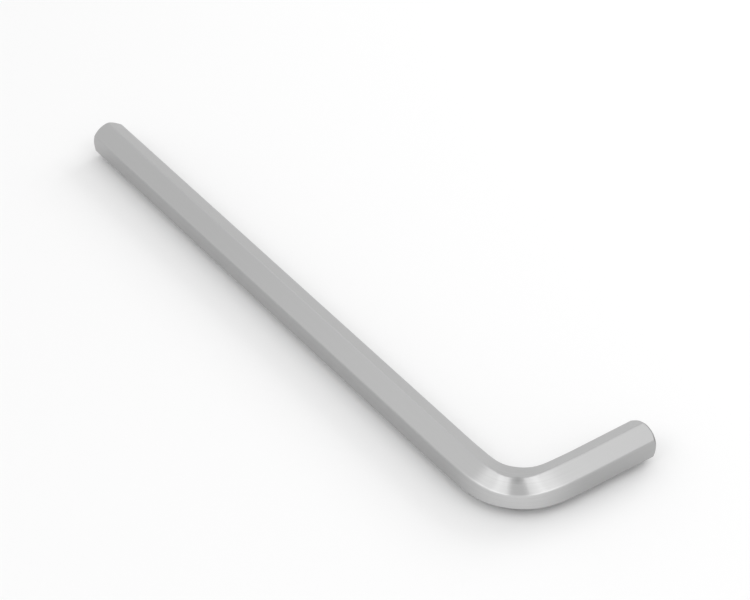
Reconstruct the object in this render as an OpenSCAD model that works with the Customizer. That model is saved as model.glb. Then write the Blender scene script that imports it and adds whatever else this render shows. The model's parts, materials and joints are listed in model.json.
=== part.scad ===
// Hex key: one bar of drawn hexagonal steel, bent cold to a right angle and
// chamfered all round at both tips. It lies flat on the lowest corner of the
// bar, with the long arm along +Y and the short arm along +X.

/* [Bar] */
// Distance across two opposite flats
across_flats = 14; // [13:0.1:16]
// Radius left on the six long corners
corner_r = 0.9; // [0.3:0.1:1.5]

/* [Arms] */
// Long arm, from its tip to the outer side of the bend
long_arm = 294; // [150:1:350]
// Short arm, from its tip to the outer side of the bend
short_arm = 70; // [55:1:100]

/* [Bend] */
// How far the bend reaches along each arm, from the point where their axes cross
bend_reach = 33; // [29:0.5:38]
// How far the middle of the bend stands outside a plain arc of that radius
bend_swing = 5; // [0:0.1:6]
// How far the bend draws the top and the bottom corner towards its outside
corner_drift = 2.1; // [0:0.1:3]
// How much each edge of the stretched outer flat closes in
outer_flat_loss = 1; // [0:0.1:2]
// How much each edge of the upset inner flat spreads
inner_flat_gain = 1; // [0:0.1:1.5]

/* [Tips] */
// Diameter of the flat face on each tip
tip_face_d = 12.5; // [9:0.1:13]
// Angle between the chamfer and the axis of the arm
chamfer_angle = 45; // [30:1:60]

/* [Hidden] */
$fn = 64;

// Flat strips that make up the arc of one corner, and rings along the bend
corner_steps = 4;
bend_steps = 40;

// Powers that gather the swing of the axis and the distortion of the section
// about the middle of the bend
swing_power = 2.5;
distortion_power = 8;

// From the axis of the bar to a flat, to a sharp corner and to a rounded one
flat_r = across_flats / 2;
sharp_corner_r = flat_r / cos(30);
corner_reach = sharp_corner_r - corner_r * (1 / cos(30) - 1);
// Half the width of one flat between sharp corners
half_flat = sharp_corner_r / 2;
// How far the cone of a chamfer is drawn past the corners that it cuts
cone_margin = 1;

// Sharp hexagon of the bar as [outwards, up], with a flat on the outer and on
// the inner side of the bend. share is how much of the bend's distortion it
// has: 0 in the arms, 1 at the middle of the bend.
function hexagon(share) =
    let (
        outer = half_flat - outer_flat_loss * share,
        inner = half_flat + inner_flat_gain * share,
        drift = corner_drift * share
    )
    [
        [flat_r, -outer], [flat_r, outer], [drift, sharp_corner_r],
        [-flat_r, inner], [-flat_r, -inner], [drift, -sharp_corner_r]
    ];

// Outward normal of the side that runs from one corner to the next.
function normal(from, to) = let (side = to - from) [side.y, -side.x] / norm(side);

// Arc of the rounded corner between two sides, as points from one side to the other.
function corner_arc(before, corner, after) =
    let (
        first = normal(before, corner),
        last = normal(corner, after),
        centre = corner - corner_r * (first + last) / (1 + first * last),
        turn = acos(first * last),
        start = atan2(first.y, first.x)
    )
    [
        for (i = [0 : corner_steps])
            let (a = start + turn * i / corner_steps) centre + corner_r * [cos(a), sin(a)]
    ];

// Section of the bar, counterclockwise, with its corners rounded.
function bar_section(share) =
    let (h = hexagon(share), n = len(h))
    [for (i = [0 : n - 1]) each corner_arc(h[(i + n - 1) % n], h[i], h[(i + 1) % n])];

// The section as it stands in the bend, square to the bar's axis. The angle
// goes round [bend_reach, bend_reach], from 0 at the foot of the long arm to 90
// at the foot of the short one.
function bend_ring(angle) =
    let (
        middle = sin(2 * angle),
        axis_r = bend_reach + bend_swing * pow(middle, swing_power),
        axis_r_slope = 2 * swing_power * bend_swing * pow(middle, swing_power - 1) * cos(2 * angle),
        out_angle = angle - atan(axis_r_slope / axis_r),
        centre = [bend_reach, bend_reach] - axis_r * [cos(angle), sin(angle)]
    )
    [
        for (p = bar_section(pow(middle, distortion_power)))
            [centre.x - p.x * cos(out_angle), centre.y - p.x * sin(out_angle), p.y]
    ];

// Quarter turn that joins the two arms, lofted ring by ring.
module bend() {
    rings = [for (i = [0 : bend_steps]) bend_ring(90 * i / bend_steps)];
    n = len(rings[0]);
    last = n * bend_steps;
    polyhedron(
        points = [for (ring = rings) each ring],
        faces = [
            [for (j = [n - 1 : -1 : 0]) j],
            for (i = [0 : bend_steps - 1], j = [0 : n - 1])
                let (here = i * n + j, beside = i * n + (j + 1) % n)
                each [[here, beside, here + n], [beside, beside + n, here + n]],
            [for (j = [0 : n - 1]) last + j]
        ]
    );
}

// Straight arm along +Z from the end of the bend to its chamfered tip.
module arm(length) {
    cone_r = corner_reach + cone_margin;
    cone_depth = (cone_r - tip_face_d / 2) / tan(chamfer_angle);
    intersection() {
        linear_extrude(length) polygon(bar_section(0));
        rotate_extrude()
            polygon([[0, 0], [cone_r, 0], [cone_r, length - cone_depth], [tip_face_d / 2, length], [0, length]]);
    }
}

module hex_key() {
    color("silver")
        translate([flat_r - short_arm / 2, flat_r - long_arm / 2, corner_reach]) {
            bend();
            translate([0, bend_reach]) rotate([90, 0, 180]) arm(long_arm - flat_r - bend_reach);
            translate([bend_reach, 0]) rotate([90, 0, 90]) arm(short_arm - flat_r - bend_reach);
        }
}

hex_key();
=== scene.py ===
"""Looks of the hex key: satin plated steel, lying on a white studio floor."""

import json
import math

import bpy
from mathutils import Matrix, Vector

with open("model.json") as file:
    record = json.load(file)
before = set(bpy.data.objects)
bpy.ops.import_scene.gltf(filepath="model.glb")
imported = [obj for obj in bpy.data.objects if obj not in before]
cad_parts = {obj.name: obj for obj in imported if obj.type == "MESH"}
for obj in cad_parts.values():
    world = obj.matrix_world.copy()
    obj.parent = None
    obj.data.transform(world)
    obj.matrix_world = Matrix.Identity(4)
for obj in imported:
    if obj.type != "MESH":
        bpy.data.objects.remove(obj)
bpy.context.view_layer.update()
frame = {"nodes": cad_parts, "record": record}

# Camera, in metres and degrees. The focal length is for a sensor 36 mm wide.
camera_place = Vector((-0.45436, -0.67534, 0.65877))
camera_turn = (50.959, 0.881, -35.232)
focal_length = 124.46
sensor_width = 36.0

# The bar's axis: the long arm's place in x, the short arm's place in y and the
# height of both. In the bend it swings out of a plain arc, as the part's does.
mounts = {mount["name"]: mount for mount in frame["record"]["mounts"]}
long_axis_x = mounts["long_tip"]["pos_m"][0]
short_axis_y = mounts["short_tip"]["pos_m"][1]
axis_height = mounts["long_tip"]["pos_m"][2]
bend_reach = 0.033
bend_swing = 0.005
swing_power = 2.5
bend_centre = Vector((long_axis_x + bend_reach, short_axis_y + bend_reach, axis_height))

# Shading: edges sharper than this stay sharp, and vertices nearer than this are one.
sharp_angle = math.radians(30)
weld_distance = 1e-6

# Satin plating: its mean grey, how far that varies in the arms and in the middle
# of the bend, its roughness, how far that varies, and how much more it blurs a
# reflection across the bar than along it.
plate_grey = 0.44
plate_grey_swing = 0.004
bend_grey_swing = 0.018
plate_roughness = 0.28
plate_roughness_swing = 0.006
plate_anisotropy = 0.85
# How strongly it mirrors at a glancing angle, as a share of a perfect mirror's.
plate_edge_tint = 1.0
# Drawing lines: how often they change along the bar and across it, per metre,
# how deep they are, and the detail and the part of the noise that draws them.
line_rate_along = 20
line_rate_across = 2500
line_depth = 5e-7
line_detail = 2.0
line_noise_low = 0.3
line_noise_high = 0.7
# Painted sheen on the stretched side of the bend: a lighter grey that stands in for brighter reflection
# on the outside of the bend, and a painted highlight along its outer ridge. Its grey, between which distances
# outwards from the bar's axis it sets in, and how it gathers about the middle.
painted_sheen_grey = 0.61
sheen_from = 0.0065
sheen_to = 0.00695
sheen_power = 2.0
# Turned chamfers and tip faces: their grey, roughness and share of the mirror at
# a glancing angle, and how far a surface has to face along the bar to be one.
turned_grey = 0.38
turned_roughness = 0.45
turned_edge_tint = 0.6
turned_facing = 0.35
# Pinch that the bending leaves on the top and the bottom corner: a shallow dent with painted shade in it,
# a darker grey for its darker reflection. How far round the bend it is, its place and half sizes as along,
# outwards from and above or below the bar's axis, its depth, and the grey of its painted shade.
pinch_angle = math.radians(47)
pinch_place = Vector((-bend_reach * pinch_angle, 0.0028, 0.0073))
pinch_size = Vector((0.0019, 0.0021, 0.0021))
pinch_depth = 1e-4
pinch_shade_grey = 0.34

# Radiance of the room as a light, and how far the lamps stand from the bend.
room_light = 0.81
softbox_distance = 1.2

# Floor: its size and grey. Near the key it is plainly lit and keeps the shadow,
# and between these distances from its centre it turns into the white background.
floor_size = 8.0
floor_grey = 0.9
floor_lit_r = 0.3
floor_white_r = 0.9


def node(tree, kind, *values, **settings):
    """A new node. Each value is a socket to link, a plain value, or None to leave the input as it is."""
    new = tree.nodes.new(kind)
    for name, setting in settings.items():
        setattr(new, name, setting)
    for socket, value in zip(new.inputs, values):
        if isinstance(value, bpy.types.NodeSocket):
            tree.links.new(value, socket)
        elif value is not None:
            socket.default_value = value
    return new


def maths(tree, operation, *values):
    return node(tree, "ShaderNodeMath", *values, operation=operation).outputs[0]


def vectors(tree, operation, *values):
    return node(tree, "ShaderNodeVectorMath", *values, operation=operation).outputs[0]


def between(tree, share, low, high):
    """Goes from low to high as share goes from 0 to 1."""
    return node(tree, "ShaderNodeMapRange", share, 0.0, 1.0, low, high).outputs[0]


def share_of(tree, value, start, end, easing="LINEAR"):
    """Goes from 0 to 1 as value goes from start to end."""
    return node(tree, "ShaderNodeMapRange", value, start, end, 0.0, 1.0, interpolation_type=easing).outputs[0]


def grey(value):
    return (value, value, value, 1.0)


def smooth_between_edges(key):
    """Shades curved surfaces smooth and flats flat, and keeps the edges of the chamfers sharp."""
    tree = bpy.data.node_groups.new("smooth_between_edges", "GeometryNodeTree")
    tree.interface.new_socket("Geometry", in_out="INPUT", socket_type="NodeSocketGeometry")
    tree.interface.new_socket("Geometry", in_out="OUTPUT", socket_type="NodeSocketGeometry")
    start = tree.nodes.new("NodeGroupInput")
    end = tree.nodes.new("NodeGroupOutput")
    weld = node(tree, "GeometryNodeMergeByDistance", start.outputs[0], True, weld_distance)
    angle = tree.nodes.new("GeometryNodeInputMeshEdgeAngle")
    sharp = node(tree, "FunctionNodeCompare", angle.outputs[0], sharp_angle, operation="GREATER_THAN")
    shade = node(tree, "GeometryNodeSetMeshNormal", weld.outputs[0], True, sharp.outputs[0], False)
    tree.links.new(shade.outputs[0], end.inputs[0])
    key.modifiers.new("smooth_between_edges", "NODES").node_group = tree
    weigh = key.modifiers.new("flats_stay_flat", "WEIGHTED_NORMAL")
    weigh.keep_sharp = True


def bar_coordinates(tree):
    """Where a point is along, outwards from and above or below the bar's axis, which way the axis runs there,
    and how near the point is to the middle of the bend, from 0 in the arms to 1. Along is 0 at the foot of
    the long arm and falls towards the short one."""
    place = node(tree, "ShaderNodeTexCoord").outputs["Object"]
    from_centre = node(tree, "ShaderNodeSeparateXYZ", vectors(tree, "SUBTRACT", place, bend_centre))
    x, y, height = from_centre.outputs
    inward_x = maths(tree, "MAXIMUM", maths(tree, "MULTIPLY", x, -1.0), 0.0)
    inward_y = maths(tree, "MAXIMUM", maths(tree, "MULTIPLY", y, -1.0), 0.0)
    inward_y_squared = maths(tree, "POWER", inward_y, 2.0)
    radius = maths(tree, "SQRT", maths(tree, "MULTIPLY_ADD", inward_x, inward_x, inward_y_squared))
    angle = maths(tree, "ARCTAN2", inward_y, inward_x)
    twice = maths(tree, "MULTIPLY", angle, 2.0)
    middle = maths(tree, "SINE", twice)
    axis_r = maths(tree, "MULTIPLY_ADD", maths(tree, "POWER", middle, swing_power), bend_swing, bend_reach)
    gathered = maths(tree, "POWER", middle, swing_power - 1)
    steepness = maths(tree, "MULTIPLY", gathered, maths(tree, "COSINE", twice))
    slope = maths(tree, "MULTIPLY", steepness, 2 * swing_power * bend_swing)
    out_angle = maths(tree, "SUBTRACT", angle, maths(tree, "ARCTAN2", slope, axis_r))
    arms = maths(tree, "SUBTRACT", maths(tree, "MAXIMUM", y, 0.0), maths(tree, "MAXIMUM", x, 0.0))
    along = maths(tree, "MULTIPLY_ADD", angle, -bend_reach, arms)
    outwards = maths(tree, "SUBTRACT", radius, axis_r)
    level = maths(tree, "ABSOLUTE", height)
    spot = node(tree, "ShaderNodeCombineXYZ", along, outwards, level).outputs[0]
    axis_x = maths(tree, "MULTIPLY", maths(tree, "SINE", out_angle), -1.0)
    axis = node(tree, "ShaderNodeCombineXYZ", axis_x, maths(tree, "COSINE", out_angle), 0.0).outputs[0]
    return spot, axis, middle


def plated_steel():
    """Satin plating over a drawn bar: faint lines lengthwise, painted sheen on the outside of the bend,
    painted shade in the pinch at its corners, and duller turned tips.
    """
    material = bpy.data.materials.new("plated_steel")
    material.use_nodes = True
    tree = material.node_tree
    tree.nodes.clear()
    spot, axis, middle = bar_coordinates(tree)
    normal = node(tree, "ShaderNodeNewGeometry").outputs["Normal"]

    rates = vectors(tree, "MULTIPLY", spot, (line_rate_along, line_rate_across, line_rate_across))
    noise = node(tree, "ShaderNodeTexNoise", rates, None, 1.0, line_detail).outputs[0]
    lines = share_of(tree, noise, line_noise_low, line_noise_high)

    outwards = node(tree, "ShaderNodeSeparateXYZ", spot).outputs[1]
    # Painted sheen: a lighter grey on the outside of the bend and along its outer ridge, standing in for
    # brighter reflection there.
    stretched = share_of(tree, outwards, sheen_from, sheen_to)
    painted_sheen = maths(tree, "MULTIPLY", maths(tree, "POWER", middle, sheen_power), stretched)
    # Pinch: a shallow dent from the bump below, and painted shade in it as a darker grey.
    from_pinch = vectors(tree, "DIVIDE", vectors(tree, "SUBTRACT", spot, pinch_place), pinch_size)
    distance = node(tree, "ShaderNodeVectorMath", from_pinch, operation="LENGTH").outputs["Value"]
    pinch_and_shade = share_of(tree, distance, 1.0, 0.0, "SMOOTHSTEP")
    facing = node(tree, "ShaderNodeVectorMath", axis, normal, operation="DOT_PRODUCT").outputs["Value"]
    turned = maths(tree, "GREATER_THAN", maths(tree, "ABSOLUTE", facing), turned_facing)

    # Plate grey with the painted sheen on the bend's outside and the painted shade in the pinch.
    painted_bend_grey = between(tree, pinch_and_shade, between(tree, painted_sheen, plate_grey, painted_sheen_grey), pinch_shade_grey)
    grey_swing = between(tree, middle, plate_grey_swing, bend_grey_swing)
    lined_grey = maths(tree, "MULTIPLY_ADD", between(tree, lines, -1.0, 1.0), grey_swing, painted_bend_grey)
    smoothest = plate_roughness - plate_roughness_swing
    roughest = plate_roughness + plate_roughness_swing
    lined_roughness = between(tree, lines, smoothest, roughest)
    grain = node(tree, "ShaderNodeBump", None, line_depth, None, lines)
    dent = node(tree, "ShaderNodeBump", None, pinch_depth, None, pinch_and_shade, grain.outputs[0], invert=True)

    plate = tree.nodes.new("ShaderNodeBsdfPrincipled")
    plate.inputs["Metallic"].default_value = 1.0
    plate.inputs["Anisotropic"].default_value = plate_anisotropy
    tree.links.new(between(tree, turned, plate_edge_tint, turned_edge_tint), plate.inputs["Specular Tint"])
    tree.links.new(between(tree, turned, lined_grey, turned_grey), plate.inputs["Base Color"])
    tree.links.new(between(tree, turned, lined_roughness, turned_roughness), plate.inputs["Roughness"])
    tree.links.new(dent.outputs[0], plate.inputs["Normal"])
    tree.links.new(vectors(tree, "CROSS_PRODUCT", axis, normal), plate.inputs["Tangent"])
    node(tree, "ShaderNodeOutputMaterial", plate.outputs[0])
    return material


def seen_as_background(tree):
    """1 for the camera and for what metal or glass shows, 0 for light that falls on things."""
    path = node(tree, "ShaderNodeLightPath").outputs
    seen = maths(tree, "MAXIMUM", path["Is Camera Ray"], path["Is Glossy Ray"])
    return maths(tree, "MAXIMUM", seen, path["Is Transmission Ray"])


def white_floor():
    """A white floor that keeps the key's shadow, and is plain white background farther away."""
    bpy.ops.mesh.primitive_plane_add(size=floor_size)
    floor = bpy.context.object
    floor.name = "floor"
    material = bpy.data.materials.new("white_floor")
    material.use_nodes = True
    tree = material.node_tree
    tree.nodes.clear()
    paint = node(tree, "ShaderNodeBsdfDiffuse", grey(floor_grey)).outputs[0]
    glow = node(tree, "ShaderNodeEmission", grey(1.0), 1.0).outputs[0]
    place = node(tree, "ShaderNodeTexCoord").outputs["Object"]
    distance = node(tree, "ShaderNodeVectorMath", place, operation="LENGTH").outputs["Value"]
    far = share_of(tree, distance, floor_lit_r, floor_white_r, "SMOOTHSTEP")
    share = maths(tree, "MULTIPLY", seen_as_background(tree), far)
    mixed = node(tree, "ShaderNodeMixShader", share, paint, glow).outputs[0]
    node(tree, "ShaderNodeOutputMaterial", mixed)
    floor.data.materials.append(material)


def room():
    """White where it is seen, in the metal too, and a plain even light on everything."""
    world = bpy.data.worlds.new("room")
    bpy.context.scene.world = world
    world.use_nodes = True
    tree = world.node_tree
    tree.nodes.clear()
    white = node(tree, "ShaderNodeBackground", grey(1.0), 1.0).outputs[0]
    light = node(tree, "ShaderNodeBackground", grey(1.0), room_light).outputs[0]
    mixed = node(tree, "ShaderNodeMixShader", seen_as_background(tree), light, white).outputs[0]
    node(tree, "ShaderNodeOutputWorld", mixed)


def softbox(name, azimuth, elevation, width, height, radiance):
    """A lamp that faces the bend. Its azimuth is clockwise from +Y, seen from above."""
    lamp = bpy.data.lights.new(name, "AREA")
    lamp.shape = "RECTANGLE"
    lamp.size = width
    lamp.size_y = height
    lamp.energy = math.pi * width * height * radiance
    box = bpy.data.objects.new(name, lamp)
    bpy.context.scene.collection.objects.link(box)
    turn, rise = math.radians(azimuth), math.radians(elevation)
    away = Vector((math.sin(turn) * math.cos(rise), math.cos(turn) * math.cos(rise), math.sin(rise)))
    box.location = bend_centre + away * softbox_distance
    box.rotation_euler = away.to_track_quat("Z", "Y").to_euler()
    box.visible_camera = False


def camera():
    lens = bpy.data.cameras.new("camera")
    lens.lens = focal_length
    lens.sensor_width = sensor_width
    eye = bpy.data.objects.new("camera", lens)
    bpy.context.scene.collection.objects.link(eye)
    eye.location = camera_place
    eye.rotation_euler = [math.radians(turn) for turn in camera_turn]
    bpy.context.scene.camera = eye


key = frame["nodes"]["hex_key"]
smooth_between_edges(key)
key.data.materials[0] = plated_steel()
white_floor()
room()
# Azimuth and elevation in degrees, width and height in metres, and radiance.
softbox("left_wide_softbox", -58, 47, 1.1, 0.4, 0.26)
softbox("left_middle_softbox", -76, 48, 0.5, 0.36, 0.9)
softbox("left_front_softbox", -105, 46, 0.42, 0.42, 1.42)
softbox("right_front_softbox", -174, 53, 0.4, 0.42, 1.3)
softbox("right_middle_softbox", 158, 58, 0.4, 0.36, 0.65)
softbox("right_wide_softbox", 140, 56, 0.8, 0.4, 0.65)
softbox("right_back_softbox", 78, 30, 0.9, 0.5, 2.6)
softbox("back_softbox", 28, 42, 0.7, 0.3, 0.4)
camera()
bpy.context.scene.view_settings.view_transform = "Standard"
